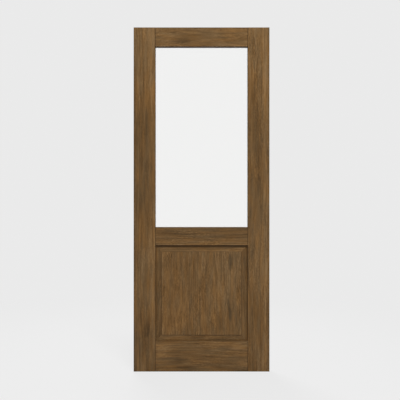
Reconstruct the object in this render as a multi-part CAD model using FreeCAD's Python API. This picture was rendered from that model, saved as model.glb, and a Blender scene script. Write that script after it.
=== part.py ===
import FreeCAD, Part
import os

from FreeCAD import Vector

# A half glazed door leaf in stained timber: one tall light of glass over one raised panel.
# Millimetres. X runs from the hinge edge to the lock edge, Y from the front face to the back
# face and Z up from the bottom edge. The front face looks along -Y.
# The origin is on the hinge edge, at the middle of the thickness, level with the bottom edge.

# Leaf
leaf_width = 802.0
leaf_height = 2032.0
leaf_thickness = 44.0
arris = 1.0

# Stiles and rails
stile_width = 128.0
top_rail_depth = 112.5
lock_rail_depth = 106.0
bottom_rail_depth = 179.0
panel_opening_height = 567.0

# Through tenons with haunches
tenon_thickness = 15.0
tenon_fit = 0.1
tenon_edge_cover = 3.0
haunch_length = 15.0
haunch_end_gap = 0.5
top_haunch_height = 30.0
bottom_haunch_height = 35.0
bottom_tenon_spacing = 30.0

# Wedges, driven above and below each tenon from the outer edge of its stile
wedge_length = 50.0
wedge_butt = 6.0
wedge_tip = 1.5

# Raised panel: a fielded core inside four lippings with bevelled margins
groove_depth = 12.0
groove_side_play = 0.2
panel_edge_gap = 1.5
panel_tongue_thickness = 12.0
panel_margin = 37.0
margin_flat = 3.0
bevel_rise = 5.0
field_shoulder = 4.0
field_arris = 0.8
core_tongue_thickness = 6.0
core_tongue_length = 8.0
core_groove_gap = 0.5

# Glazing: rebate, tape, sealed double unit, tape and bead, from front to back
rebate_depth = 15.0
glazing_lip = 17.0
tape_thickness = 1.5
pane_thickness = 4.0
cavity = 6.0
unit_clearance = 3.0
sight_setback = 2.0
spacer_seal_cover = 3.0
spacer_wall = 0.6
bead_fit = 0.2
bead_round = 7.0
setting_block_length = 100.0

# Levels and limits worked out from the sizes above
front = -leaf_thickness / 2
back = leaf_thickness / 2
opening_left = stile_width
opening_right = leaf_width - stile_width
bottom_rail_top = bottom_rail_depth
lock_rail_bottom = bottom_rail_top + panel_opening_height
lock_rail_top = lock_rail_bottom + lock_rail_depth
top_rail_bottom = leaf_height - top_rail_depth
unit_front = front + glazing_lip + tape_thickness
cavity_front = unit_front + pane_thickness
cavity_back = cavity_front + cavity
unit_back = cavity_back + pane_thickness
bead_front = unit_back + tape_thickness
unit_cover = rebate_depth - unit_clearance
panel_engagement = groove_depth - panel_edge_gap


def block(x0, x1, y0, y1, z0, z1):
    """Plain block between two opposite corners."""
    return Part.makeBox(x1 - x0, y1 - y0, z1 - z0, Vector(x0, y0, z0))


def prism(points, sweep):
    """Solid swept from a flat closed outline of straight sides."""
    return Part.Face(Part.makePolygon(points + points[:1])).extrude(sweep)


def mirrored(shape):
    """The same shape on the other side of the leaf's centre line."""
    return shape.mirror(Vector(leaf_width / 2, 0, 0), Vector(1, 0, 0))


def grown(x0, x1, z0, z1, margin):
    """Rectangle in the plane of the leaf, moved out by a margin on all sides."""
    return x0 - margin, x1 + margin, z0 - margin, z1 + margin


glass_opening = (opening_left, opening_right, lock_rail_top, top_rail_bottom)
panel_opening = (opening_left, opening_right, bottom_rail_top, lock_rail_bottom)
# The panel stands on the floor of the bottom groove, so all of its upright play is at its top.
panel_place = (opening_left, opening_right,
               bottom_rail_top - panel_edge_gap, lock_rail_bottom - panel_edge_gap)


def glazing_rebate():
    """Rebate for the glass, open to the back and closed to the front by the glazing lip."""
    x0, x1, z0, z1 = grown(*glass_opening, rebate_depth)
    return block(x0, x1, front + glazing_lip, back, z0, z1)


def panel_groove():
    """Groove for the panel's tongue, round all four sides of its opening."""
    half_width = panel_tongue_thickness / 2 + groove_side_play
    x0, x1, z0, z1 = grown(*panel_opening, groove_depth)
    return block(x0, x1, -half_width, half_width, z0, z1)


def top_tenons():
    """Heights of the one tenon of the top rail, between the rebate and the haunch."""
    low = top_rail_bottom + rebate_depth + tenon_edge_cover
    return [(low, leaf_height - top_haunch_height)]


def lock_tenons():
    """Heights of the one tenon of the lock rail, between the groove and the rebate."""
    low = lock_rail_bottom + groove_depth + tenon_edge_cover
    return [(low, lock_rail_top - rebate_depth - tenon_edge_cover)]


def bottom_tenons():
    """Heights of the pair of tenons of the bottom rail, below the groove."""
    high = bottom_rail_top - groove_depth - tenon_edge_cover
    tenon_height = (high - bottom_haunch_height - bottom_tenon_spacing) / 2
    return [(bottom_haunch_height, bottom_haunch_height + tenon_height),
            (high - tenon_height, high)]


def haunches():
    """Heights of the short haunches that fill the stiles' slots beside the tenons."""
    bottom_haunch_top = bottom_tenons()[-1][1]
    top_haunch_bottom = top_tenons()[0][1]
    return {"bottom": (0.0, bottom_haunch_top), "top": (top_haunch_bottom, leaf_height)}


def mortise(z0, z1):
    """Through mortise of the hinge stile, flared towards the outer edge for its two wedges."""
    half = tenon_thickness / 2 + tenon_fit
    butt = wedge_butt + 2 * tenon_fit
    tip = wedge_tip + 2 * tenon_fit
    neck = wedge_length + tenon_fit
    outline = [(0, z0 - butt), (neck, z0 - tip), (neck, z0 - tenon_fit),
               (stile_width, z0 - tenon_fit), (stile_width, z1 + tenon_fit),
               (neck, z1 + tenon_fit), (neck, z1 + tip), (0, z1 + butt)]
    return prism([Vector(x, -half, z) for x, z in outline], Vector(0, 2 * half, 0))


def haunch_slot(z0, z1):
    """Short slot in the inner edge of the hinge stile that takes a haunch."""
    half = tenon_thickness / 2 + tenon_fit
    depth = haunch_length + haunch_end_gap
    return block(stile_width - depth, stile_width, -half, half, z0, z1)


def hinge_stile():
    """Upright member, its long edges rounded, with its mortises, haunch slots, groove and rebate."""
    near = arris * (1 - 0.5 ** 0.5)
    far = stile_width - near
    outline = [(0, front + arris), (near, front + near, arris, front),
               (stile_width - arris, front), (far, front + near, stile_width, front + arris),
               (stile_width, back - arris), (far, back - near, stile_width - arris, back),
               (arris, back), (near, back - near, 0, back - arris)]
    section = section_face(outline, Vector(0, 0, 0), Vector(1, 0, 0))
    stile = section.extrude(Vector(0, 0, leaf_height))
    for z0, z1 in top_tenons() + lock_tenons() + bottom_tenons():
        stile = stile.cut(mortise(z0, z1))
    for z0, z1 in haunches().values():
        stile = stile.cut(haunch_slot(z0, z1))
    return stile.cut(panel_groove()).cut(glazing_rebate())


def wedges(z0, z1):
    """Pair of wedges above and below one tenon at the outer edge of the hinge stile."""
    half = tenon_thickness / 2
    pair = []
    for edge, away in ((z1, 1), (z0, -1)):
        near = edge + away * tenon_fit
        outline = [(tenon_fit, near), (wedge_length, near),
                   (wedge_length, near + away * wedge_tip), (tenon_fit, near + away * wedge_butt)]
        pair.append(prism([Vector(x, -half, z) for x, z in outline], Vector(0, 2 * half, 0)))
    return pair


def stile_wedges():
    """All the wedges of the hinge stile, apart from each other."""
    pairs = [wedges(z0, z1) for z0, z1 in top_tenons() + lock_tenons() + bottom_tenons()]
    return Part.makeCompound([wedge for pair in pairs for wedge in pair])


def rail(z0, z1, tenons, haunch=None):
    """Cross member between shoulders, its faces rounded off all round, with tenons at both ends."""
    body = block(opening_left, opening_right, front, back, z0, z1)
    face_edges = [edge for edge in body.Edges
                  if edge.BoundBox.YLength < arris and abs(edge.CenterOfMass.y) > back - arris]
    body = body.makeFillet(arris, face_edges)
    half = tenon_thickness / 2
    for low, high in tenons:
        body = body.fuse(block(tenon_fit, leaf_width - tenon_fit, -half, half, low, high))
    if haunch:
        reach = stile_width - haunch_length
        body = body.fuse(block(reach, leaf_width - reach, -half, half, *haunch))
    return body.removeSplitter().cut(panel_groove()).cut(glazing_rebate())


def section_face(outline, corner, inward):
    """Flat section of a strip: the first number runs inward across it, the second along Y.

    A pair of numbers is a straight side to that point. Four numbers are an arc that passes
    through the first pair and ends at the second.
    """
    def place(across, depth):
        return corner + inward * across + Vector(0, depth, 0)

    sides = []
    last = place(*outline[0])
    for step in outline[1:] + outline[:1]:
        end = place(*step[-2:])
        if len(step) == 4:
            sides.append(Part.Arc(last, place(*step[:2]), end).toShape())
        else:
            sides.append(Part.makeLine(last, end))
        last = end
    return Part.Face(Part.Wire(sides))


def mitred_frame(outline, x0, x1, z0, z1):
    """Four strips of one section laid round a rectangle and mitred at its corners."""
    width = max(step[-2] for step in outline)
    corners = [Vector(x0, 0, z0), Vector(x1, 0, z0), Vector(x1, 0, z1), Vector(x0, 0, z1)]
    strips = {}
    for index, side in enumerate(("bottom", "right", "top", "left")):
        start = corners[index]
        end = corners[(index + 1) % 4]
        along = (end - start).normalize()
        inward = Vector(-along.z, 0, along.x)
        bar = section_face(outline, start, inward).extrude(end - start)
        inner_start = start + (along + inward) * width
        inner_end = end + (inward - along) * width
        plan = [point + Vector(0, front, 0) for point in (start, end, inner_end, inner_start)]
        strips[side] = bar.common(prism(plan, Vector(0, leaf_thickness, 0)))
    return strips


def panel_lippings():
    """Four mitred strips with a tongue in the frame, a bevelled margin and a tongue in the core."""
    outer = panel_tongue_thickness / 2
    inner = outer + bevel_rise
    tongue = core_tongue_thickness / 2
    flat_end = panel_engagement + margin_flat
    width = panel_engagement + panel_margin
    tip = width + core_tongue_length
    half = [(0, outer), (flat_end, outer), (width, inner), (width, tongue), (tip, tongue)]
    outline = half + [(across, -depth) for across, depth in reversed(half)]
    return mitred_frame(outline, *grown(*panel_place, panel_engagement))


def panel_core():
    """Fielded centre of the panel, raised above its margins by a square shoulder on both faces."""
    half = panel_tongue_thickness / 2 + bevel_rise + field_shoulder
    x0, x1, z0, z1 = grown(*panel_place, -panel_margin)
    core = block(x0, x1, -half, half, z0, z1)
    face_edges = [edge for edge in core.Edges
                  if edge.BoundBox.YLength < arris and abs(edge.CenterOfMass.y) > half - arris]
    core = core.makeFillet(field_arris, face_edges)
    slot = core_tongue_thickness / 2 + groove_side_play
    floor = core_tongue_length + core_groove_gap
    groove = block(x0, x1, -slot, slot, z0, z1)
    tongue_floor = block(x0 + floor, x1 - floor, -slot, slot, z0 + floor, z1 - floor)
    return core.cut(groove.cut(tongue_floor))


def pane(face_front):
    """One sheet of glass of the sealed unit, from its front face back."""
    x0, x1, z0, z1 = grown(*glass_opening, unit_cover)
    return block(x0, x1, face_front, face_front + pane_thickness, z0, z1)


def spacer_bars():
    """Hollow bars that hold the two panes apart, set back behind the sight line."""
    near = spacer_seal_cover
    far = unit_cover - sight_setback
    tube = [(near, cavity_front), (far, cavity_front), (far, cavity_back), (near, cavity_back)]
    bore = [(near + spacer_wall, cavity_front + spacer_wall),
            (far - spacer_wall, cavity_front + spacer_wall),
            (far - spacer_wall, cavity_back - spacer_wall),
            (near + spacer_wall, cavity_back - spacer_wall)]
    ring = grown(*glass_opening, unit_cover)
    tubes = mitred_frame(tube, *ring)
    bores = mitred_frame(bore, *ring)
    return {side: tubes[side].cut(bores[side]) for side in tubes}


def tapes(face_front):
    """Glazing tape round the edge of one face of the unit."""
    width = unit_cover - sight_setback
    face_back = face_front + tape_thickness
    outline = [(0, face_front), (width, face_front), (width, face_back), (0, face_back)]
    return mitred_frame(outline, *grown(*glass_opening, unit_cover))


def glazing_beads():
    """Four mitred beads that close the rebate at the back, with a quarter round to the glass."""
    centre_across = rebate_depth - bead_round
    centre_depth = back - bead_round
    lean = bead_round * 0.5 ** 0.5
    outline = [(bead_fit, bead_front), (rebate_depth, bead_front), (rebate_depth, centre_depth),
               (centre_across + lean, centre_depth + lean, centre_across, back), (bead_fit, back)]
    return mitred_frame(outline, *grown(*glass_opening, rebate_depth))


def setting_block(middle):
    """Block under the sealed unit that carries its weight on the lock rail."""
    half = setting_block_length / 2
    floor = lock_rail_top - rebate_depth
    return block(middle - half, middle + half, unit_front, unit_back, floor, floor + unit_clearance)


def named(prefix, pieces):
    """Node names for the four sides of a frame of strips."""
    return {prefix + "_" + side: shape for side, shape in pieces.items()}


def door_leaf():
    """Every piece of the leaf under its node name."""
    levels = haunches()
    stile = hinge_stile()
    stile_wedge_set = stile_wedges()
    quarter = (opening_right - opening_left) / 4
    nodes = {
        "hinge_stile": stile,
        "lock_stile": mirrored(stile),
        "top_rail": rail(top_rail_bottom, leaf_height, top_tenons(), levels["top"]),
        "lock_rail": rail(lock_rail_bottom, lock_rail_top, lock_tenons()),
        "bottom_rail": rail(0.0, bottom_rail_top, bottom_tenons(), levels["bottom"]),
        "hinge_stile_wedges": stile_wedge_set,
        "lock_stile_wedges": mirrored(stile_wedge_set),
        "panel_field": panel_core(),
        "outer_pane": pane(unit_front),
        "inner_pane": pane(cavity_back),
        "setting_block_left": setting_block(opening_left + quarter),
        "setting_block_right": setting_block(opening_right - quarter),
    }
    nodes.update(named("panel_lipping", panel_lippings()))
    nodes.update(named("spacer_bar", spacer_bars()))
    nodes.update(named("front_tape", tapes(unit_front - tape_thickness)))
    nodes.update(named("back_tape", tapes(unit_back)))
    nodes.update(named("glazing_bead", glazing_beads()))
    return nodes


os.makedirs("parts", exist_ok=True)
for node, shape in door_leaf().items():
    shape.exportStep("parts/" + node + ".step")
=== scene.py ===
import logging
import math
from dataclasses import dataclass
from enum import Enum

import bpy
import numpy as np
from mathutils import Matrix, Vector


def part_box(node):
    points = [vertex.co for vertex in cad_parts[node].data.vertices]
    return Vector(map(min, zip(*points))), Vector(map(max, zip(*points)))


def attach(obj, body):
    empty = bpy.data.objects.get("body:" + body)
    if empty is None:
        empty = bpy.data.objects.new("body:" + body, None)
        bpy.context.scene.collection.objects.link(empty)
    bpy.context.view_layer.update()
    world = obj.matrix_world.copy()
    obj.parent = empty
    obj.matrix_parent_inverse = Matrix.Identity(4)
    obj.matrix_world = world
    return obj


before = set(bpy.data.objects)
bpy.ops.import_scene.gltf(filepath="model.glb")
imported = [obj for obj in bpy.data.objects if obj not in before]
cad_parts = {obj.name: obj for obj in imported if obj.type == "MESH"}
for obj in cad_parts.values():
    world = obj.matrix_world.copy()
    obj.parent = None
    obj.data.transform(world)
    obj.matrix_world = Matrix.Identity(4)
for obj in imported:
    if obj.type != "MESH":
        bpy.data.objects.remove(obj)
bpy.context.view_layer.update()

Pair = tuple[float, float]
Triple = tuple[float, float, float]
Colour = Triple
Socket = bpy.types.NodeSocket
Value = bpy.types.Node | Socket | float | tuple[float, ...]

SIDES = ("bottom", "left", "right", "top")
UPRIGHT_SIDES = ("left", "right")
BODY = "root"
NOISE_MEAN = 0.5
MIDDLE_TONE = 0.5

log = logging.getLogger("door_leaf")


class Grain(Enum):
    """Which way the fibres of a board run in the leaf."""

    UPRIGHT = "upright"
    LEVEL = "level"

    @property
    def turn(self) -> Triple:
        """Rotation that lays a board's own length, its Z, along the fibres."""
        return (0.0, math.pi / 2, 0.0) if self is Grain.LEVEL else (0.0, 0.0, 0.0)

    @property
    def axis(self) -> Triple:
        """Direction of the fibres in the leaf."""
        return (1.0, 0.0, 0.0) if self is Grain.LEVEL else (0.0, 0.0, 1.0)


class NodeSheet:
    """A node tree, with short names for the nodes that it is built from."""

    def __init__(self, tree: bpy.types.NodeTree) -> None:
        """Starts with an empty tree.

        Args:
            tree: the node tree of a material or a world.
        """
        self.tree = tree
        self.tree.nodes.clear()

    def feed(self, socket: Socket, value: Value) -> None:
        """Links a socket to another, or sets its plain value.

        Args:
            socket: the input to fill.
            value: a node, which stands for its first output, another output, or plain numbers.
        """
        source = value.outputs[0] if isinstance(value, bpy.types.Node) else value
        if isinstance(source, bpy.types.NodeSocket):
            self.tree.links.new(source, socket)
        else:
            socket.default_value = source

    def node(self, kind: str, inputs: dict[str | int, Value], **settings: object) -> bpy.types.Node:
        """Adds a node.

        Args:
            kind: the node's type name.
            inputs: values or links by input name or number.
            settings: the node's own properties.

        Returns:
            The new node.
        """
        made = self.tree.nodes.new(kind)
        for key, setting in settings.items():
            setattr(made, key, setting)
        for key, value in inputs.items():
            self.feed(made.inputs[key], value)
        return made

    def math(self, operation: str, *terms: Value) -> Socket:
        """A number worked out from up to three others."""
        return self.node("ShaderNodeMath", dict(enumerate(terms)), operation=operation).outputs[0]

    def more(self, share: Value, factor: float, start: Value) -> Socket:
        """The start, and a factor times the share."""
        return self.math("MULTIPLY_ADD", share, factor, start)

    def place(self) -> Socket:
        """The point in the leaf, in metres."""
        return self.node("ShaderNodeTexCoord", {}).outputs["Object"]

    def vector(self, operation: str, *terms: Value) -> bpy.types.Node:
        """A vector node for one operation."""
        return self.node("ShaderNodeVectorMath", dict(enumerate(terms)), operation=operation)

    def noise(self, vector: Value, stretch: Triple, detail: float = 2.0,
              roughness: float = 0.5) -> bpy.types.Node:
        """Noise whose grains are drawn out along the board.

        Args:
            vector: the point, in metres.
            stretch: grains for each metre across, through and along the board.
            detail: octaves of finer noise.
            roughness: strength of the finer octaves.

        Returns:
            The noise node.
        """
        point = self.vector("MULTIPLY", vector, stretch)
        inputs = {"Vector": point, "Scale": 1.0, "Detail": detail, "Roughness": roughness}
        return self.node("ShaderNodeTexNoise", inputs)

    def span(self, value: Value, low: float, high: float, to_low: float = 0.0,
             to_high: float = 1.0) -> Socket:
        """A smooth step from one value to another between two limits.

        Args:
            value: what is compared with the limits.
            low: the limit where the step starts.
            high: the limit where it ends.
            to_low: the result up to the low limit.
            to_high: the result from the high limit.

        Returns:
            The stepped number.
        """
        inputs = {0: value, 1: low, 2: high, 3: to_low, 4: to_high}
        return self.node("ShaderNodeMapRange", inputs, interpolation_type="SMOOTHSTEP").outputs[0]

    def blend(self, share: Value, first: Value, second: Value, mode: str = "MIX") -> Socket:
        """A colour between two others.

        Args:
            share: how much of the second colour there is, from 0 to 1.
            first: the colour at 0.
            second: the colour at 1.
            mode: how the second colour is laid on the first.

        Returns:
            The blended colour.
        """
        inputs = {0: share, 6: first, 7: second}
        return self.node("ShaderNodeMix", inputs, data_type="RGBA", blend_type=mode).outputs[2]

    def ramp(self, value: Value, stops: list[tuple[float, Colour]]) -> Socket:
        """A colour read from a scale of stops.

        Args:
            value: the place on the scale.
            stops: two or more places in rising order, each with its colour.

        Returns:
            The colour at that place.
        """
        made = self.node("ShaderNodeValToRGB", {0: value})
        scale = made.color_ramp
        while len(scale.elements) < len(stops):
            scale.elements.new(1.0)
        for element, (place, colour) in zip(scale.elements, stops):
            element.position = place
            element.color = (*colour, 1.0)
        return made.outputs[0]


class MaterialSheet(NodeSheet):
    """The node tree of one new material."""

    def __init__(self, name: str) -> None:
        """Starts an empty material.

        Args:
            name: the material's name.
        """
        self.material = bpy.data.materials.new(name)
        self.material.use_nodes = True
        super().__init__(self.material.node_tree)

    def rough_skin(self, height: Value, strength: float, depth: float) -> bpy.types.Node:
        """The way that the surface faces, with a fine relief."""
        inputs = {"Strength": strength, "Distance": depth, "Height": height}
        return self.node("ShaderNodeBump", inputs)

    def finish(self, shader: bpy.types.Node) -> bpy.types.Material:
        """Links the shader to the output and gives the material."""
        self.node("ShaderNodeOutputMaterial", {"Surface": shader})
        return self.material


def shaded(colour: Colour, factor: float) -> Colour:
    """The colour, darker or paler by a factor."""
    return tuple(factor * part for part in colour)


def grey(level: float) -> tuple[float, float, float, float]:
    """An opaque grey, or white at a level of 1."""
    return (level, level, level, 1.0)


@dataclass(frozen=True)
class GrainNoise:
    """One noise of the grain, drawn out along the fibres.

    Its grains are counted for each metre across and along the fibres. Detail is the number of its
    finer octaves, and roughness their strength. Depth is its share in the tone.
    """

    across: float
    along: float
    detail: float = 2.0
    roughness: float = 0.5
    depth: float = 0.0


@dataclass(frozen=True)
class Mark:
    """One soft mark in a board, such as a mineral streak or a paler stripe.

    Its place is in the leaf, in metres from the hinge edge and from the bottom edge. Its half
    sizes are measured across and along the fibres. Its change is of tone, and slate and warmth
    turn its colour to grey and to orange.
    """

    x: float
    z: float
    half_across: float
    half_along: float
    change: float = 0.0
    slate: float = 0.0
    warmth: float = 0.0


@dataclass(frozen=True)
class StainAndShadeLine:
    """Darkening along a straight line of the leaf, where two pieces meet: stain in the joints
    at the rails' shoulders, and painted shade in the corners of the panel's recess.

    Its place is on the X or the Z axis, in metres. The darkening is full up to the first reach
    from the line and gone at the second.
    """

    axis: str
    place: float
    reach: Pair
    darkening: float


@dataclass(frozen=True)
class Board:
    """How one piece of timber was cut, and what shows on it.

    Its seed picks its part of the pattern. Its heart is where the middle of the tree lies from the
    middle of the board, across and through it, in metres. Tone and contrast are those of the bare
    timber, and run draws its figure out along the fibres. An eased board has rounded edges, which
    are painted darker: stain in the joints, and painted shade on the edges. Its lines darken it
    along straight lines: joint stain at the rails' shoulders, and painted shade in the corners of
    the panel's recess.
    """

    name: str
    grain: Grain
    seed: float
    heart: Pair = (0.02, 0.09)
    tone: float = 0.0
    run: float = 1.0
    contrast: float = 1.0
    eased: bool = True
    marks: tuple[Mark, ...] = ()
    lines: tuple[StainAndShadeLine, ...] = ()

    @property
    def centre(self) -> Triple:
        """Middle of the board in the leaf."""
        low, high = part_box(self.name)
        return tuple((low + high) / 2)

    def place_of(self, mark: Mark) -> Triple:
        """Centre of a mark, across, through and along this board."""
        x, z = mark.x - self.centre[0], mark.z - self.centre[2]
        return (-z, 0.0, x) if self.grain is Grain.LEVEL else (x, 0.0, z)


@dataclass(frozen=True)
class StainedTimber:
    """Hardwood under brown stain and a satin finish, as one solid pattern through each board."""

    dark: Colour = (0.056, 0.0303, 0.0105)
    middle: Colour = (0.136, 0.0742, 0.0273)
    light: Colour = (0.252, 0.1440, 0.0580)
    slate: Colour = (0.064, 0.042, 0.020)
    stain: Colour = (0.030, 0.015, 0.006)
    # Colour of darkened edges and lines: stain in the joints, and painted shade on rounded edges and in
    # the corners of the panel's recess.
    crease_stain_and_shade: Colour = (0.014, 0.007, 0.003)
    warm: Colour = (1.055, 0.985, 0.85)
    cool: Colour = (0.945, 1.013, 1.14)
    end_darkening: float = 0.62
    # Share of that colour on rounded edges: stain in the joints, and painted shade on the edges.
    arris_stain_and_shade: float = 0.90

    seed_shift: Triple = (1.0, 0.37, 1.71)
    drift_grains: Triple = (7.0, 7.0, 1.4)
    drift_reach: Triple = (0.022, 0.022, 0.06)
    ring_spacing: float = 0.0065
    ring_depth: float = 0.10
    late_span: Pair = (0.35, 0.95)
    mark_fall: Pair = (0.3, 1.05)

    wander: GrainNoise = GrainNoise(14.0, 2.2, 1.0, depth=1.6)
    blotch: GrainNoise = GrainNoise(11.0, 2.6, depth=0.44)
    figure: GrainNoise = GrainNoise(78.0, 8.0, 3.0, 0.6, depth=0.85)
    strand: GrainNoise = GrainNoise(230.0, 9.0, 2.0, 0.6, depth=0.70)
    fleck: GrainNoise = GrainNoise(330.0, 70.0, 2.0, 0.6, depth=0.56)
    fibre: GrainNoise = GrainNoise(850.0, 13.0, depth=0.35)
    pore: GrainNoise = GrainNoise(1500.0, 34.0, 1.0, depth=0.22)
    uneven: GrainNoise = GrainNoise(19.0, 5.0, 1.0)
    hue: GrainNoise = GrainNoise(52.0, 7.0)
    dark_strand_depth: float = 0.40
    dark_strand_span: Pair = (0.56, 0.72)
    pore_span: Pair = (0.58, 0.70)
    uneven_span: Pair = (0.32, 0.68)
    uneven_share: Pair = (0.35, 1.7)
    hue_span: Pair = (0.32, 0.68)

    end_span: Pair = (0.8, 0.95)
    corner_span: Pair = (0.10, 0.25)
    face_span: Pair = (0.94, 0.99)
    specular: float = 0.15
    roughness: float = 0.52
    fibre_roughness: float = 0.16
    pore_roughness: float = 0.15
    end_roughness: float = 0.2
    relief: float = 0.0005
    relief_strength: float = 0.45
    pore_relief: float = 0.7
    late_relief: float = 0.35

    def board_point(self, sheet: NodeSheet, board: Board) -> tuple[Value, Value]:
        """Places a point in the board: across, through and along the fibres, in metres.

        Args:
            sheet: the material's nodes.
            board: the piece.

        Returns:
            The point warped a little, so that the fibres wander as they do in a grown tree, and
            the same point moved by the board's seed.
        """
        inputs = {"Vector": sheet.place(), "Location": board.centre, "Rotation": board.grain.turn}
        point = sheet.node("ShaderNodeMapping", inputs, vector_type="TEXTURE")
        shift = tuple(board.seed * part for part in self.seed_shift)
        seeded = sheet.vector("ADD", point, shift)
        drift = sheet.noise(seeded, self.drift_grains).outputs["Color"]
        drift = sheet.vector("SUBTRACT", drift, (NOISE_MEAN,) * 3)
        drift = sheet.vector("MULTIPLY", drift, self.drift_reach)
        warped = sheet.vector("ADD", point, drift)
        return warped, sheet.vector("ADD", seeded, drift)

    def grown(self, sheet: NodeSheet, seeded: Value, noise: GrainNoise, run: float = 1.0) -> Value:
        """Works out one noise of the grain.

        Args:
            sheet: the material's nodes.
            seeded: the place in the board, moved by its seed.
            noise: the noise's grains and detail.
            run: how much further it is drawn out along the fibres than usual.

        Returns:
            The noise, from 0 to 1.
        """
        stretch = (noise.across, noise.across, noise.along / run)
        return sheet.noise(seeded, stretch, noise.detail, noise.roughness)

    def latewood(self, sheet: NodeSheet, board: Board, point: Value, seeded: Value) -> Socket:
        """Finds the dark part of each year ring.

        It is the distance from the heart, in rings, less its whole part.

        Args:
            sheet: the material's nodes.
            board: the piece.
            point: the place in the board.
            seeded: the same place, moved by the board's seed.

        Returns:
            1 in the dark part, and 0 in the pale one.
        """
        from_heart = sheet.vector("SUBTRACT", point, (*board.heart, 0.0))
        pitch = 1.0 / self.ring_spacing
        rings = sheet.vector("MULTIPLY", from_heart, (pitch, pitch, 0.0))
        radius = sheet.vector("LENGTH", rings).outputs["Value"]
        wander = self.grown(sheet, seeded, self.wander)
        radius = sheet.more(wander, self.wander.depth, radius)
        return sheet.span(sheet.math("FRACT", radius), *self.late_span)

    def marks(self, sheet: NodeSheet, board: Board, point: Value,
              strand: Value) -> tuple[Value, Value, Value]:
        """Sums a board's own marks, each a smooth fall from its middle to an ellipse's edge.

        Args:
            sheet: the material's nodes.
            board: the piece.
            point: the place in the board.
            strand: the noise of its strands, which breaks the marks up along the fibres.

        Returns:
            The change of tone, the share of slate grey and the change of warmth.
        """
        change, slate, warmth = 0.0, 0.0, 0.0
        for mark in board.marks:
            away = sheet.vector("SUBTRACT", point, board.place_of(mark))
            size = (1.0 / mark.half_across, 0.0, 1.0 / mark.half_along)
            away = sheet.vector("MULTIPLY", away, size)
            reach = sheet.vector("LENGTH", away).outputs["Value"]
            part = sheet.span(reach, *self.mark_fall, 1.0, 0.0)
            if mark.change:
                change = sheet.more(part, mark.change, change)
            if mark.slate:
                slate = sheet.more(part, mark.slate, slate)
            if mark.warmth:
                warmth = sheet.more(part, mark.warmth, warmth)
        broken = sheet.math("ADD", strand, 1.0 - NOISE_MEAN)
        return sheet.math("MULTIPLY", change, broken), sheet.math("MULTIPLY", slate, broken), warmth

    def bare_tone(self, sheet: NodeSheet, board: Board, seeded: Value, strand: Value,
                  fibre: Value) -> Socket:
        """Tone of the board before its marks, rings and pores, as a sum of drawn-out noises.

        Args:
            sheet: the material's nodes.
            board: the piece.
            seeded: the place in the board, moved by its seed.
            strand: the noise of its strands.
            fibre: the noise of its fibres.

        Returns:
            The tone, where MIDDLE_TONE is the middle colour.
        """
        figure = self.grown(sheet, seeded, self.figure, board.run)
        blotch = self.grown(sheet, seeded, self.blotch)
        fleck = self.grown(sheet, seeded, self.fleck)
        uneven = self.grown(sheet, seeded, self.uneven)
        uneven = sheet.span(uneven, *self.uneven_span, *self.uneven_share)
        dark_strand = sheet.span(strand, *self.dark_strand_span)

        depths = self.strand.depth + self.fleck.depth + self.fibre.depth
        fine = sheet.more(strand, self.strand.depth, -depths * NOISE_MEAN)
        fine = sheet.more(dark_strand, -self.dark_strand_depth, fine)
        fine = sheet.more(fleck, self.fleck.depth, fine)
        fine = sheet.more(fibre, self.fibre.depth, fine)
        level = MIDDLE_TONE + board.tone - (self.figure.depth + self.blotch.depth) * NOISE_MEAN
        tone = sheet.more(figure, self.figure.depth, level)
        tone = sheet.more(blotch, self.blotch.depth, tone)
        fine = sheet.math("MULTIPLY", fine, board.contrast)
        return sheet.more(fine, uneven, tone)

    def facing(self, sheet: NodeSheet, board: Board) -> tuple[Socket, Socket]:
        """Finds end grain and eased corners by the way that the surface faces.

        Args:
            sheet: the material's nodes.
            board: the piece.

        Returns:
            1 on end grain, and 1 on an eased corner between a face and an edge.
        """
        normal = sheet.node("ShaderNodeTexCoord", {}).outputs["Normal"]
        lengthwise = sheet.vector("DOT_PRODUCT", normal, board.grain.axis).outputs["Value"]
        end = sheet.span(sheet.math("ABSOLUTE", lengthwise), *self.end_span)
        depthwise = sheet.vector("DOT_PRODUCT", normal, (0.0, 1.0, 0.0)).outputs["Value"]
        depthwise = sheet.math("ABSOLUTE", depthwise)
        off_edge = sheet.span(depthwise, *self.corner_span)
        off_face = sheet.span(depthwise, *self.face_span, 1.0, 0.0)
        return end, sheet.math("MULTIPLY", off_edge, off_face)

    def stain_and_shade_near(self, sheet: NodeSheet, line: StainAndShadeLine) -> Socket:
        """Share of darkening near a line, which falls with the distance from it: stain in the joints
        of the rails, and painted shade in the corners of the panel's recess.

        Args:
            sheet: the material's nodes.
            line: where the darkening lies.

        Returns:
            The line's darkening on it, and 0 beyond its reach.
        """
        across = sheet.node("ShaderNodeSeparateXYZ", {0: sheet.place()}).outputs[line.axis]
        away = sheet.math("ABSOLUTE", sheet.math("SUBTRACT", across, line.place))
        return sheet.span(away, *line.reach, line.darkening, 0.0)

    def material(self, board: Board) -> bpy.types.Material:
        """The finish of one board.

        Args:
            board: how the piece was cut.

        Returns:
            The material, with colour, roughness and relief from one pattern.
        """
        sheet = MaterialSheet(board.name + "_timber")
        point, seeded = self.board_point(sheet, board)
        late = self.latewood(sheet, board, point, seeded)
        fibre = self.grown(sheet, seeded, self.fibre)
        strand = self.grown(sheet, seeded, self.strand, board.run)
        pore = sheet.span(self.grown(sheet, seeded, self.pore), *self.pore_span)

        change, slate, warmth = self.marks(sheet, board, point, strand)
        tone = self.bare_tone(sheet, board, seeded, strand, fibre)
        tone = sheet.math("ADD", tone, change)
        tone = sheet.more(late, -self.ring_depth, tone)
        tone = sheet.more(pore, -self.pore.depth, tone)
        colour = sheet.ramp(tone, [(0.0, self.dark), (MIDDLE_TONE, self.middle), (1.0, self.light)])
        hue = sheet.math("ADD", self.grown(sheet, seeded, self.hue), warmth)
        hue = sheet.ramp(hue, list(zip(self.hue_span, (self.cool, self.warm))))
        colour = sheet.blend(1.0, colour, hue, "MULTIPLY")
        colour = sheet.blend(slate, colour, (*self.slate, 1.0))

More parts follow.
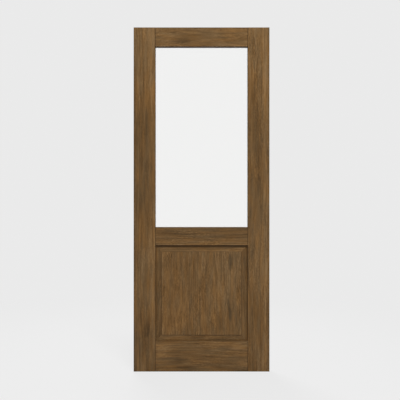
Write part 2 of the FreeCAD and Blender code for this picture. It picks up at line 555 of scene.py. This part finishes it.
        end, corner = self.facing(sheet, board)
        shade = sheet.math("MULTIPLY", end, self.end_darkening)
        colour = sheet.blend(shade, colour, (*self.stain, 1.0))
        # Rounded edges are painted darker: stain in the joints, and painted shade on the edges.
        if board.eased:
            shade = sheet.math("MULTIPLY", corner, self.arris_stain_and_shade)
            colour = sheet.blend(shade, colour, (*self.crease_stain_and_shade, 1.0))
        # Darker along the board's lines: stain at the rails' shoulders, and painted shade in the
        # corners of the panel's recess.
        for line in board.lines:
            colour = sheet.blend(self.stain_and_shade_near(sheet, line), colour, (*self.crease_stain_and_shade, 1.0))

        smooth = self.roughness - self.fibre_roughness * NOISE_MEAN
        rough = sheet.more(fibre, self.fibre_roughness, smooth)
        rough = sheet.more(pore, self.pore_roughness, rough)
        rough = sheet.more(end, self.end_roughness, rough)
        height = sheet.more(pore, -self.pore_relief, fibre)
        height = sheet.more(late, self.late_relief, height)
        skin = sheet.rough_skin(height, self.relief_strength, self.relief)
        shader = sheet.node("ShaderNodeBsdfPrincipled", {
            "Base Color": colour, "Roughness": rough, "Normal": skin,
            "Specular IOR Level": self.specular})
        return sheet.finish(shader)


@dataclass(frozen=True)
class ClearGlass:
    """Clear float glass. Light rays pass straight through it, so the rebate behind stays lit."""

    tint: Colour = (0.9985, 1.0, 0.997)
    index: float = 1.5

    def material(self) -> bpy.types.Material:
        """The finish of both panes.

        Returns:
            The material.
        """
        sheet = MaterialSheet("clear_float_glass")
        glass = sheet.node("ShaderNodeBsdfPrincipled", {
            "Base Color": (*self.tint, 1.0), "Roughness": 0.0, "IOR": self.index,
            "Transmission Weight": 1.0})
        through = sheet.node("ShaderNodeBsdfTransparent", {"Color": (*self.tint, 1.0)})
        shadow = sheet.node("ShaderNodeLightPath", {}).outputs["Is Shadow Ray"]
        mixed = sheet.node("ShaderNodeMixShader", {0: shadow, 1: glass, 2: through})
        return sheet.finish(mixed)


@dataclass(frozen=True)
class BlackAluminium:
    """Black anodised aluminium of a spacer bar, with fine lines along its length."""

    colour: Colour = (0.030, 0.030, 0.032)
    darker: float = 0.8
    tone_span: Pair = (0.3, 0.7)
    line_grains: Triple = (240.0, 900.0, 240.0)
    line_detail: float = 3.0
    roughness: float = 0.42
    line_roughness: float = 0.2
    relief: float = 0.0002
    relief_strength: float = 0.2

    def material(self) -> bpy.types.Material:
        """The finish of the spacer bars.

        Returns:
            The material.
        """
        sheet = MaterialSheet("black_anodised_aluminium")
        drawn = sheet.noise(sheet.place(), self.line_grains, self.line_detail)
        smooth = self.roughness - self.line_roughness * NOISE_MEAN
        rough = sheet.more(drawn, self.line_roughness, smooth)
        tones = (shaded(self.colour, self.darker), self.colour)
        tone = sheet.ramp(drawn, list(zip(self.tone_span, tones)))
        skin = sheet.rough_skin(drawn, self.relief_strength, self.relief)
        shader = sheet.node("ShaderNodeBsdfPrincipled", {
            "Base Color": tone, "Metallic": 1.0, "Roughness": rough, "Normal": skin})
        return sheet.finish(shader)


@dataclass(frozen=True)
class CellFoam:
    """Closed cell foam or plain black plastic, with a fine cellular surface."""

    name: str
    colour: Colour = (0.022, 0.022, 0.023)
    cells: float = 1400.0
    roughness: float = 0.8
    paler: float = 1.9
    cell_roughness: float = 0.1
    specular: float = 0.3
    relief: float = 0.0003
    relief_strength: float = 0.5

    def material(self) -> bpy.types.Material:
        """The finish of a tape or block.

        Returns:
            The material.
        """
        sheet = MaterialSheet(self.name)
        cell = sheet.node("ShaderNodeTexVoronoi", {"Vector": sheet.place(), "Scale": self.cells})
        tone = sheet.ramp(cell, [(0.0, self.colour), (1.0, shaded(self.colour, self.paler))])
        rough = sheet.more(cell, self.cell_roughness, self.roughness)
        skin = sheet.rough_skin(cell, self.relief_strength, self.relief)
        shader = sheet.node("ShaderNodeBsdfPrincipled", {
            "Base Color": tone, "Roughness": rough, "Normal": skin,
            "Specular IOR Level": self.specular})
        return sheet.finish(shader)


@dataclass(frozen=True)
class WoodFiller:
    """Brown filler over the sunk pins, a little darker than the timber round it."""

    colour: Colour = (0.082, 0.044, 0.017)
    darker: float = 0.7
    tone_span: Pair = (0.35, 0.65)
    speck_grains: Triple = (2600.0, 2600.0, 2600.0)
    roughness: float = 0.62
    specular: float = 0.2

    def material(self) -> bpy.types.Material:
        """The finish of the pin heads.

        Returns:
            The material.
        """
        sheet = MaterialSheet("brown_filler")
        speck = sheet.noise(sheet.place(), self.speck_grains)
        tones = (shaded(self.colour, self.darker), self.colour)
        tone = sheet.ramp(speck, list(zip(self.tone_span, tones)))
        shader = sheet.node("ShaderNodeBsdfPrincipled", {
            "Base Color": tone, "Roughness": self.roughness, "Specular IOR Level": self.specular})
        return sheet.finish(shader)


def dress(node: str, material: bpy.types.Material) -> None:
    """Gives a piece of the frame its finish.

    Args:
        node: the piece's name.
        material: the finish.
    """
    for material_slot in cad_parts[node].material_slots:
        material_slot.material = material
    log.info("%s: %s", node, material.name)


@dataclass
class Framework:
    """The two stiles, the three rails and the wedges of their tenons."""

    timber: StainedTimber
    wedge_tone: float = 0.38
    wedge_seeds: Pair = (31.0, 35.0)
    shoulder_reach: Pair = (0.0008, 0.0045)
    shoulder_darkening: float = 0.34

    # Paler at its head and along its inner edge.
    hinge_stile_marks: tuple[Mark, ...] = (
        Mark(0.112, 1.016, 0.021, 2.2, 0.08), Mark(0.106, 0.551, 0.019, 0.27, 0.04),
        Mark(0.108, 1.689, 0.015, 0.11, 0.1), Mark(0.078, 0.259, 0.02, 0.07, -0.2),
        Mark(0.078, 1.515, 0.012, 0.06, -0.1), Mark(0.073, 1.016, 0.018, 2.2, -0.07),
        Mark(0.04, 1.016, 0.015, 2.2, -0.05), Mark(0.06, 1.23, 0.11, 0.42, -0.2),
        Mark(0.06, 0.23, 0.11, 0.22, -0.12), Mark(0.06, 1.92, 0.11, 0.36, 0.14, warmth=-0.09),
        Mark(0.06, 0.9, 0.11, 0.2, -0.02, warmth=0.09), Mark(0.06, 1.64, 0.11, 0.16, 0.04, warmth=0.08),
        Mark(0.06, 0.64, 0.11, 0.14, warmth=-0.1), Mark(0.06, 0.06, 0.11, 0.14, 0.02, warmth=-0.06),
        Mark(0.0, 1.016, 0.01, 9.0, -0.22), Mark(0.003, 0.35, 0.009, 0.6, -0.15),
        Mark(0.112, 0.806, 0.02, 0.11, -0.13), Mark(0.1235, 0.3, 0.005, 0.42, 0.13),
        Mark(0.098, 1.9, 0.012, 0.2, -0.07), Mark(0.07, 1.5, 0.08, 0.14, -0.08),
        Mark(0.114, 1.42, 0.018, 0.18, -0.09), Mark(0.072, 1.19, 0.014, 0.15, 0.09),
        Mark(0.06, 1.25, 0.11, 0.16, 0.04), Mark(0.011, 0.024, 0.014, 0.12, -0.18),
        Mark(0.118, 1.606, 0.012, 0.11, -0.11), Mark(0.029, 1.37, 0.014, 0.15, 0.09),
        Mark(0.01, 0.195, 0.013, 0.12, -0.14), Mark(0.111, 1.181, 0.012, 0.11, 0.11),
        Mark(0.064, 1.394, 0.012, 0.11, 0.1), Mark(0.01, 0.827, 0.01, 0.1, -0.1),
        Mark(0.111, 1.589, 0.045, 0.14, warmth=0.2), Mark(0.111, 0.331, 0.045, 0.13, warmth=0.12),
        Mark(0.111, 1.246, 0.045, 0.13, warmth=-0.08), Mark(0.111, 2.008, 0.045, 0.12, warmth=-0.09),
        Mark(0.111, 0.124, 0.045, 0.1, warmth=-0.07),
    )

    # With a paler stripe near its outer edge.
    lock_stile_marks: tuple[Mark, ...] = (
        Mark(0.775, 1.016, 0.021, 2.2, 0.12), Mark(0.774, 1.813, 0.022, 0.24, 0.05),
        Mark(0.776, 0.493, 0.02, 0.21, 0.05), Mark(0.769, 1.093, 0.013, 0.1, 0.17),
        Mark(0.7, 0.349, 0.011, 0.05, -0.14), Mark(0.701, 1.608, 0.009, 0.05, -0.14),
        Mark(0.712, 1.881, 0.011, 0.04, -0.12), Mark(0.722, 1.135, 0.011, 0.03, -0.12),
        Mark(0.74, 1.3, 0.11, 0.36, -0.08), Mark(0.74, 0.56, 0.11, 0.24, 0.08),
        Mark(0.74, 1.92, 0.11, 0.34, 0.09, warmth=-0.08), Mark(0.74, 0.9, 0.11, 0.28, warmth=-0.09),
        Mark(0.74, 0.26, 0.11, 0.1, -0.05), Mark(0.74, 1.64, 0.11, 0.16, 0.03, warmth=0.04),
        Mark(0.74, 0.05, 0.11, 0.12, warmth=-0.07), Mark(0.802, 1.016, 0.01, 9.0, -0.06),
        Mark(0.776, 1.8, 0.014, 0.3, 0.1), Mark(0.712, 1.93, 0.014, 0.13, -0.09),
        Mark(0.745, 1.66, 0.01, 0.16, -0.1), Mark(0.762, 1.7, 0.006, 0.16, 0.08),
        Mark(0.794, 1.72, 0.008, 0.24, -0.08), Mark(0.775, 0.22, 0.012, 0.14, 0.12),
        Mark(0.79, 0.24, 0.008, 0.12, 0.08), Mark(0.69, 0.25, 0.018, 0.12, -0.07),
        Mark(0.682, 0.8, 0.012, 0.07, 0.15), Mark(0.79, 0.875, 0.012, 0.13, -0.18),
        Mark(0.776, 0.343, 0.014, 0.11, 0.21), Mark(0.79, 1.335, 0.011, 0.11, 0.11),
        Mark(0.731, 1.913, 0.014, 0.11, -0.1), Mark(0.719, 0.868, 0.012, 0.11, 0.1),
        Mark(0.737, 1.417, 0.013, 0.11, 0.12), Mark(0.737, 1.748, 0.012, 0.11, -0.11),
        Mark(0.755, 0.727, 0.012, 0.11, -0.1), Mark(0.713, 1.825, 0.012, 0.1, -0.09),
        Mark(0.69, 0.443, 0.045, 0.13, warmth=0.12), Mark(0.69, 0.03, 0.045, 0.1, warmth=0.12),
        Mark(0.69, 1.701, 0.045, 0.13, warmth=0.11), Mark(0.784, 0.03, 0.045, 0.1, warmth=-0.1),
        Mark(0.784, 1.5, 0.045, 0.13, warmth=-0.1),
    )

    # With a darker part near its middle.
    top_rail_marks: tuple[Mark, ...] = (
        Mark(0.281, 1.951, 0.026, 0.07, -0.14), Mark(0.315, 1.976, 0.07, 0.11, -0.09),
        Mark(0.596, 2.014, 0.01, 0.08, 0.11), Mark(0.333, 2.003, 0.008, 0.03, -0.1),
        Mark(0.46, 1.975, 0.11, 0.13, -0.1, warmth=-0.08), Mark(0.17, 1.975, 0.11, 0.07, 0.06),
        Mark(0.401, 2.032, 0.01, 9.0, -0.1), Mark(0.53, 1.976, 0.05, 0.13, 0.05),
    )

    # Darker in its upper half and paler below.
    lock_rail_marks: tuple[Mark, ...] = (
        Mark(0.242, 0.814, 0.014, 0.14, -0.14), Mark(0.392, 0.77, 0.027, 0.6, 0.13),
        Mark(0.392, 0.82, 0.02, 0.5, -0.04), Mark(0.19, 0.8, 0.09, 0.1, 0.05, warmth=-0.05),
        Mark(0.4, 0.7495, 0.005, 0.6, 0.2), Mark(0.147, 0.84, 0.012, 0.08, 0.12),
        Mark(0.652, 0.818, 0.03, 0.06, 0.07), Mark(0.194, 0.839, 0.012, 0.1, 0.11),
        Mark(0.265, 0.762, 0.04, 0.13, warmth=0.07), Mark(0.471, 0.833, 0.04, 0.13, warmth=-0.07),
    )

    # Paler at its top edge and streaked darker below.
    bottom_rail_marks: tuple[Mark, ...] = (
        Mark(0.627, 0.152, 0.03, 0.06, 0.13), Mark(0.314, 0.025, 0.015, 0.09, -0.19),
        Mark(0.274, 0.065, 0.013, 0.05, -0.15), Mark(0.166, 0.139, 0.016, 0.05, 0.13),
        Mark(0.158, 0.104, 0.016, 0.04, 0.13), Mark(0.505, 0.026, 0.012, 0.04, -0.13),
        Mark(0.4, 0.155, 0.055, 0.7, 0.03), Mark(0.4, 0.0, 0.045, 0.7, -0.11),
        Mark(0.28, 0.095, 0.06, 0.09, -0.11), Mark(0.401, 0.0, 0.01, 9.0, -0.16),
        Mark(0.654, 0.113, 0.014, 0.1, 0.09), Mark(0.418, 0.13, 0.013, 0.09, 0.09),
        Mark(0.147, 0.062, 0.012, 0.08, 0.1), Mark(0.212, 0.154, 0.045, 0.12, warmth=0.12),
        Mark(0.64, 0.06, 0.05, 0.12, warmth=-0.07),
    )

    def shoulder_lines(self) -> tuple[StainAndShadeLine, ...]:
        """Stain at both shoulders of a rail, where it meets the stiles.

        Returns:
            One line for each shoulder.
        """
        places = (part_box("hinge_stile")[1].x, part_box("lock_stile")[0].x)
        return tuple(StainAndShadeLine("X", place, self.shoulder_reach, self.shoulder_darkening)
                     for place in places)

    def members(self) -> tuple[Board, ...]:
        """The two uprights and the three level members.

        Returns:
            The boards, in the order in which they are dressed.
        """
        shoulders = self.shoulder_lines()
        return (
            Board("hinge_stile", Grain.UPRIGHT, 3.1, (0.03, 0.10), tone=0.01, run=1.3, contrast=0.77,
                  marks=self.hinge_stile_marks),
            Board("lock_stile", Grain.UPRIGHT, 7.7, (-0.035, 0.11), run=1.5, contrast=1.06,
                  marks=self.lock_stile_marks),
            Board("top_rail", Grain.LEVEL, 12.4, (0.02, 0.12), tone=0.07, run=0.7, contrast=0.88,
                  marks=self.top_rail_marks, lines=shoulders),
            Board("lock_rail", Grain.LEVEL, 16.9, (-0.02, 0.09), tone=-0.05, run=1.7, contrast=1.85,
                  marks=self.lock_rail_marks, lines=shoulders),
            Board("bottom_rail", Grain.LEVEL, 21.3, (0.03, 0.13), tone=0.04, run=1.2, contrast=0.88,
                  marks=self.bottom_rail_marks, lines=shoulders),
        )

    def build(self) -> None:
        """Dresses every member and both sets of wedges."""
        for board in self.members():
            dress(board.name, self.timber.material(board))
        for side, seed in zip(("hinge", "lock"), self.wedge_seeds):
            board = Board(side + "_stile_wedges", Grain.LEVEL, seed, tone=self.wedge_tone, eased=False)
            dress(board.name, self.timber.material(board))


@dataclass
class RaisedPanel:
    """The fielded core and the four bevelled lippings round it."""

    timber: StainedTimber
    lipping_seeds: tuple[float, ...] = (51.0, 54.7, 58.4, 62.1)
    lipping_heart: Pair = (0.0, 0.07)
    lipping_tones: tuple[float, ...] = (0.14, -0.05, -0.07, 0.05)

    # In the order of SIDES: painted shade in the top corners of the panel's recess, and painted
    # highlights along the field's top edge, where its top shoulder faces the light.
    lipping_shade_and_highlights: tuple[tuple[Mark, ...], ...] = (
        (),
        (Mark(0.132, 0.712, 0.01, 0.04, -0.18),),
        (Mark(0.65, 0.708, 0.014, 0.04, 0.09),),
        (Mark(0.401, 0.7095, 0.004, 9.0, 0.07), Mark(0.652, 0.733, 0.01, 0.024, -0.2),
         Mark(0.15, 0.727, 0.007, 0.02, -0.12), Mark(0.561, 0.706, 0.007, 0.024, 0.16)),
    )

    # With slate grey streaks near its right side.
    field_marks: tuple[Mark, ...] = (
        Mark(0.509, 0.279, 0.026, 0.08, -0.15), Mark(0.577, 0.487, 0.03, 0.06, 0.1),
        Mark(0.505, 0.495, 0.024, 0.07, 0.1), Mark(0.569, 0.322, 0.014, 0.1, -0.13),
        Mark(0.562, 0.398, 0.011, 0.05, -0.14, slate=0.5), Mark(0.613, 0.309, 0.012, 0.1, -0.1),
        Mark(0.572, 0.342, 0.012, 0.05, -0.15, slate=0.55), Mark(0.36, 0.578, 0.013, 0.11, -0.11),
        Mark(0.252, 0.271, 0.01, 0.06, 0.12), Mark(0.291, 0.294, 0.009, 0.05, 0.12),
        Mark(0.312, 0.647, 0.01, 0.06, -0.11), Mark(0.573, 0.648, 0.015, 0.06, -0.18, slate=0.6),
        Mark(0.597, 0.65, 0.005, 0.05, 0.16, slate=0.3), Mark(0.212, 0.408, 0.008, 0.04, -0.1),
        Mark(0.177, 0.254, 0.01, 0.05, 0.12), Mark(0.22, 0.4, 0.16, 0.34, warmth=0.14),
        Mark(0.6, 0.56, 0.13, 0.34, -0.02, warmth=-0.1), Mark(0.4, 0.3, 0.2, 0.12, warmth=0.07),
        Mark(0.25, 0.59, 0.11, 0.13, -0.05), Mark(0.52, 0.59, 0.12, 0.13, 0.05),
        Mark(0.25, 0.33, 0.11, 0.13, 0.03), Mark(0.52, 0.33, 0.12, 0.13, -0.05),
        Mark(0.371, 0.69, 0.03, 0.09, -0.1), Mark(0.212, 0.228, 0.022, 0.07, 0.1),
        Mark(0.625, 0.384, 0.012, 0.11, -0.09), Mark(0.525, 0.225, 0.014, 0.07, -0.1),
        Mark(0.412, 0.479, 0.012, 0.09, 0.09), Mark(0.572, 0.697, 0.012, 0.08, 0.1),
        Mark(0.501, 0.508, 0.045, 0.13, warmth=0.12), Mark(0.277, 0.237, 0.06, 0.1, warmth=-0.12),
        Mark(0.613, 0.485, 0.04, 0.12, warmth=0.11), Mark(0.584, 0.685, 0.05, 0.08, warmth=-0.1),
        Mark(0.536, 0.384, 0.045, 0.1, warmth=0.08),
    )

    def painted_shade_lines(self) -> tuple[tuple[StainAndShadeLine, ...], ...]:
        """Painted shade in the corners that the lippings make with the frame and with the core.

        It is the shadow under the lock rail, the shadows of the field's shoulders, and shade along
        the hinge stile.

        Returns:
            The lines of each lipping, in the order of SIDES.
        """
        low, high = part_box("panel_field")
        return (
            (StainAndShadeLine("Z", low.z, (0.0, 0.006), 0.40),),
            (StainAndShadeLine("X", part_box("hinge_stile")[1].x, (0.004, 0.014), 0.08),
             StainAndShadeLine("X", low.x, (0.0, 0.0057), 0.22)),
            (StainAndShadeLine("X", high.x, (0.0030, 0.0105), 0.16),),
            (StainAndShadeLine("Z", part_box("lock_rail")[0].z, (0.0075, 0.0135), 0.42),),
        )

    def build(self) -> None:
        """Dresses the core with upright fibres and each lipping with fibres along its length."""
        field = Board("panel_field", Grain.UPRIGHT, 41.0, (0.06, 0.16), tone=0.08, run=0.7,
                      marks=self.field_marks)
        dress(field.name, self.timber.material(field))
        for side, seed, tone, marks, lines in zip(SIDES, self.lipping_seeds, self.lipping_tones,
                                                  self.lipping_shade_and_highlights, self.painted_shade_lines()):
            grain = Grain.UPRIGHT if side in UPRIGHT_SIDES else Grain.LEVEL
            board = Board("panel_lipping_" + side, grain, seed, self.lipping_heart, tone=tone,
                          eased=False, marks=marks, lines=lines)
            dress(board.name, self.timber.material(board))


@dataclass
class GlazedLight:
    """The sealed unit with its spacer, tapes, blocks and beads, and the pins of the beads."""

    timber: StainedTimber
    bead_seeds: tuple[float, ...] = (71.0, 73.9, 76.8, 79.7)
    bead_heart: Pair = (0.0, 0.05)
    bead_tone: float = 0.04
    pin_radius: float = 0.0011
    pin_rise: float = 0.00016
    pin_foot: float = 2.0
    pin_spacing: float = 0.16
    pin_inset: float = 0.05
    bead_round: float = 0.007
    pin_rings: int = 4
    pin_sides: int = 14

    def pin_places(self) -> tuple[np.ndarray, np.ndarray]:
        """Centres of the pins along the middle of each bead's quarter round.

        Returns:
            The centres, and the way that the bead faces at each of them.
        """
        sight_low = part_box("glazing_bead_bottom")[1].z
        sight_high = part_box("glazing_bead_top")[0].z
        sight_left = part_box("hinge_stile")[1].x
        sight_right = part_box("lock_stile")[0].x
        lean = self.bead_round * (1 - math.sqrt(0.5))
        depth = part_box("glazing_bead_bottom")[1].y - lean
        low, high = sight_low - lean, sight_high + lean
        left, right = sight_left - lean, sight_right + lean
        lines = (
            ((sight_left, low), (sight_right, low), (0, 1)),
            ((sight_left, high), (sight_right, high), (0, -1)),
            ((left, sight_low), (left, sight_high), (1, 0)),
            ((right, sight_low), (right, sight_high), (-1, 0)),
        )
        centres, facing = [], []
        for start, end, inward in lines:
            first = np.array((start[0], depth, start[1]))
            last = np.array((end[0], depth, end[1]))
            length = np.linalg.norm(last - first)
            count = 1 + round((length - 2 * self.pin_inset) / self.pin_spacing)
            share = np.linspace(self.pin_inset / length, 1 - self.pin_inset / length, count)[:, None]
            centres.append(first + share * (last - first))
            out = np.array((inward[0], 1.0, inward[1])) / math.sqrt(2)
            facing.append(np.tile(out, (count, 1)))
        return np.concatenate(centres), np.concatenate(facing)

    def pin_heads(self, centres: np.ndarray, facing: np.ndarray) -> tuple[np.ndarray, list[list[int]]]:
        """Filled heads as shallow domes, whose rise is the full rise times 1 - (r / R)^2.

        Below its rim each dome goes straight down into the bead. A flat face closes its top, and
        another its foot.

        Args:
            centres: points on the bead's face.
            facing: outward direction of the bead's face at each point.

        Returns:
            The corners, and the faces as lists of their numbers.
        """
        across = np.cross(facing, np.roll(facing, 1, axis=1))
        across /= np.linalg.norm(across, axis=1, keepdims=True)
        along = np.cross(facing, across)
        radius = np.linspace(0.0, 1.0, self.pin_rings + 1)[1:]
        rise = np.append(1 - radius ** 2, -self.pin_foot)
        radius = np.append(radius, 1.0)
        turn = np.arange(self.pin_sides) * 2 * np.pi / self.pin_sides
        ring = radius[None, :, None, None] * self.pin_radius
        disc = (np.cos(turn)[None, None, :, None] * across[:, None, None, :]
                + np.sin(turn)[None, None, :, None] * along[:, None, None, :])
        lift = (rise * self.pin_rise)[None, :, None, None] * facing[:, None, None, :]
        points = centres[:, None, None, :] + ring * disc + lift
        pins, rings, sides = points.shape[:3]
        start = np.arange(pins)[:, None, None] * rings * sides
        row = start + np.arange(rings - 1)[None, :, None] * sides
        here = np.arange(sides)
        there = (here + 1) % sides
        walls = np.stack((row + here, row + sides + here, row + sides + there, row + there), axis=-1)
        tops = start[:, 0] + here
        feet = start[:, 0] + (rings - 1) * sides + here[::-1]
        faces = walls.reshape(-1, 4).tolist() + tops.tolist() + feet.tolist()
        return points.reshape(-1, 3), faces

    def pins(self) -> None:
        """Sets the filled pin heads in the round of the four beads, as one object."""
        centres, facing = self.pin_places()
        points, faces = self.pin_heads(centres, facing)
        mesh = bpy.data.meshes.new("glazing_pins")
        mesh.from_pydata(points.tolist(), [], faces)
        mesh.update()
        mesh.materials.append(WoodFiller().material())
        piece = bpy.data.objects.new("glazing_pins", mesh)
        bpy.context.scene.collection.objects.link(piece)
        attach(piece, BODY)
        log.info("glazing_pins: %d heads", len(centres))

    def build(self) -> None:
        """Dresses the unit and its beads, and sets the pins."""
        glass = ClearGlass().material()
        for node in ("outer_pane", "inner_pane"):
            dress(node, glass)
        spacer = BlackAluminium().material()
        tape = CellFoam("black_foam_tape").material()
        for side, seed in zip(SIDES, self.bead_seeds):
            dress("spacer_bar_" + side, spacer)
            dress("front_tape_" + side, tape)
            dress("back_tape_" + side, tape)
            grain = Grain.UPRIGHT if side in UPRIGHT_SIDES else Grain.LEVEL
            board = Board("glazing_bead_" + side, grain, seed, self.bead_heart, tone=self.bead_tone,
                          eased=False)
            dress(board.name, self.timber.material(board))
        block = CellFoam("setting_block_plastic", (0.03, 0.03, 0.03), cells=500.0, roughness=0.55)
        plastic = block.material()
        for side in UPRIGHT_SIDES:
            dress("setting_block_" + side, plastic)
        self.pins()


@dataclass
class Studio:
    """Pale floor and surroundings, soft lamps, and the camera square to the front face."""

    distance: float = 3.65
    picture_width: float = 2.3617
    aim_x: float = 0.3917
    aim_z: float = 1.013
    backdrop: float = 0.824
    floor_grey: float = 0.75
    near_floor_grey: float = 0.09
    floor_glow: float = 0.735
    floor_fade: Pair = (0.8, 3.0)
    floor_reach: float = 40.0
    floor_drop: float = 0.0005
    surround: float = 0.32
    key_power: float = 320.0
    key_size: Pair = (1.8, 1.8)
    key_place: Triple = (1.3, -4.3, 5.4)
    front_radiance: float = 1.34
    front_distance: float = 10.0
    front_inset: tuple[float, float, float, float] = (0.0, 0.002, 0.001, 0.0055)
    back_power: float = 260.0
    back_size: Pair = (2.4, 2.4)
    back_place: Triple = (-0.9, 4.2, 4.6)
    sensor_width: float = 36.0

    def seen(self, sheet: NodeSheet) -> Socket:
        """Finds what the camera sees, straight on or by way of metal or glass.

        Args:
            sheet: the nodes of a material or of the surroundings.

        Returns:
            1 for such a ray, and 0 for one that only lights the leaf.
        """
        path = sheet.node("ShaderNodeLightPath", {})
        seen = sheet.math("MAXIMUM", path.outputs["Is Camera Ray"], path.outputs["Is Glossy Ray"])
        return sheet.math("MAXIMUM", seen, path.outputs["Is Transmission Ray"])

    def floor_finish(self) -> bpy.types.Material:
        """A floor that keeps a faint shadow near the leaf and fades into the backdrop further off.

        Returns:
            The material.
        """
        sheet = MaterialSheet("pale_floor")
        plain = sheet.node("ShaderNodeBsdfDiffuse", {"Color": grey(self.floor_grey)})
        faint = sheet.node("ShaderNodeBsdfDiffuse", {"Color": grey(self.near_floor_grey)})
        glow = sheet.node("ShaderNodeEmission", {"Color": grey(1.0), "Strength": self.floor_glow})
        near = sheet.node("ShaderNodeAddShader", {0: faint, 1: glow})
        far = sheet.node("ShaderNodeEmission", {"Color": grey(1.0), "Strength": self.backdrop})
        away = sheet.vector("DISTANCE", sheet.place(), (self.aim_x, 0.0, 0.0)).outputs["Value"]
        fade = sheet.span(away, *self.floor_fade)
        shown = sheet.node("ShaderNodeMixShader", {0: fade, 1: near, 2: far})
        mixed = sheet.node("ShaderNodeMixShader", {0: self.seen(sheet), 1: plain, 2: shown})
        return sheet.finish(mixed)

    def floor(self) -> None:
        """Wide pale floor, just under the foot of the leaf."""
        reach, level = self.floor_reach, -self.floor_drop
        corners = [(-reach, -reach, level), (reach, -reach, level), (reach, reach, level),
                   (-reach, reach, level)]
        mesh = bpy.data.meshes.new("floor")
        mesh.from_pydata(corners, [], [(0, 1, 2, 3)])
        mesh.materials.append(self.floor_finish())
        piece = bpy.data.objects.new("floor", mesh)
        bpy.context.scene.collection.objects.link(piece)

    def surroundings(self) -> None:
        """Even pale surroundings: the backdrop's grey where seen, and a soft light elsewhere."""
        world = bpy.data.worlds.new("surroundings")
        world.use_nodes = True
        bpy.context.scene.world = world
        sheet = NodeSheet(world.node_tree)
        strength = sheet.span(self.seen(sheet), 0.0, 1.0, self.surround, self.backdrop)
        background = sheet.node("ShaderNodeBackground", {"Color": grey(1.0), "Strength": strength})
        sheet.node("ShaderNodeOutputWorld", {"Surface": background})

    def lamp(self, name: str, place: Triple, size: Pair, power: float) -> bpy.types.Object:
        """Adds a soft rectangular lamp that faces the middle of the leaf.

        Args:
            name: the lamp's name.
            place: its centre, in metres.
            size: its width and height, in metres.
            power: its power, in watts.

        Returns:
            The lamp.
        """
        data = bpy.data.lights.new(name, "AREA")
        data.shape = "RECTANGLE"
        data.size, data.size_y = size
        data.energy = power
        piece = bpy.data.objects.new(name, data)
        piece.location = place
        aim = Vector((self.aim_x, 0.0, self.aim_z)) - Vector(place)
        piece.rotation_euler = aim.to_track_quat("-Z", "Y").to_euler()
        bpy.context.scene.collection.objects.link(piece)
        return piece

    def front_lamp(self) -> bpy.types.Object:
        """Large lamp far in front, whose mirror image just fills the glass for the camera.

        The image of the lamp lies as far behind the pane as the lamp is before it, so each of its
        sides follows from the sight line of the opening by similar triangles.

        Returns:
            The lamp.
        """
        front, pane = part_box("hinge_stile")[0].y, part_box("outer_pane")[0].y
        near = self.distance + pane - front
        far = near + pane + self.front_distance
        sight_low, sight_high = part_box("lock_rail")[1].z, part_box("top_rail")[0].z
        sight_left, sight_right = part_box("hinge_stile")[1].x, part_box("lock_stile")[0].x
        inset_left, inset_right, inset_low, inset_high = self.front_inset
        left = self.aim_x + (sight_left + inset_left - self.aim_x) * far / near
        right = self.aim_x + (sight_right - inset_right - self.aim_x) * far / near
        low = self.aim_z + (sight_low + inset_low - self.aim_z) * far / near
        high = self.aim_z + (sight_high - inset_high - self.aim_z) * far / near
        place = ((left + right) / 2, -self.front_distance, (low + high) / 2)
        size = (right - left, high - low)
        power = self.front_radiance * size[0] * size[1] * math.pi
        lamp = self.lamp("front_lamp", place, size, power)
        lamp.rotation_euler = (math.pi / 2, 0.0, 0.0)
        return lamp

    def camera(self) -> None:
        """Camera level with the middle of the leaf and square to it."""
        data = bpy.data.cameras.new("camera")
        data.sensor_width = self.sensor_width
        data.lens = data.sensor_width * self.distance / self.picture_width
        piece = bpy.data.objects.new("camera", data)
        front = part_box("hinge_stile")[0].y
        piece.location = (self.aim_x, front - self.distance, self.aim_z)
        piece.rotation_euler = (math.pi / 2, 0.0, 0.0)
        bpy.context.scene.collection.objects.link(piece)
        bpy.context.scene.camera = piece

    def build(self) -> None:
        """Sets the floor, surroundings, lamps and camera."""
        self.floor()
        self.surroundings()
        key = self.lamp("key_lamp", self.key_place, self.key_size, self.key_power)
        back = self.lamp("back_lamp", self.back_place, self.back_size, self.back_power)
        for lamp in (key, back):
            lamp.visible_glossy = False
        for unseen in (key, back, self.front_lamp()):
            unseen.visible_transmission = False
        self.camera()
        bpy.context.scene.view_settings.view_transform = "Standard"


def main() -> None:
    """Builds the leaf's looks and the studio round it."""
    logging.basicConfig(level=logging.INFO, format="%(message)s")
    timber = StainedTimber()
    Framework(timber).build()
    RaisedPanel(timber).build()
    GlazedLight(timber).build()
    Studio().build()


if __name__ == "__main__":
    main()
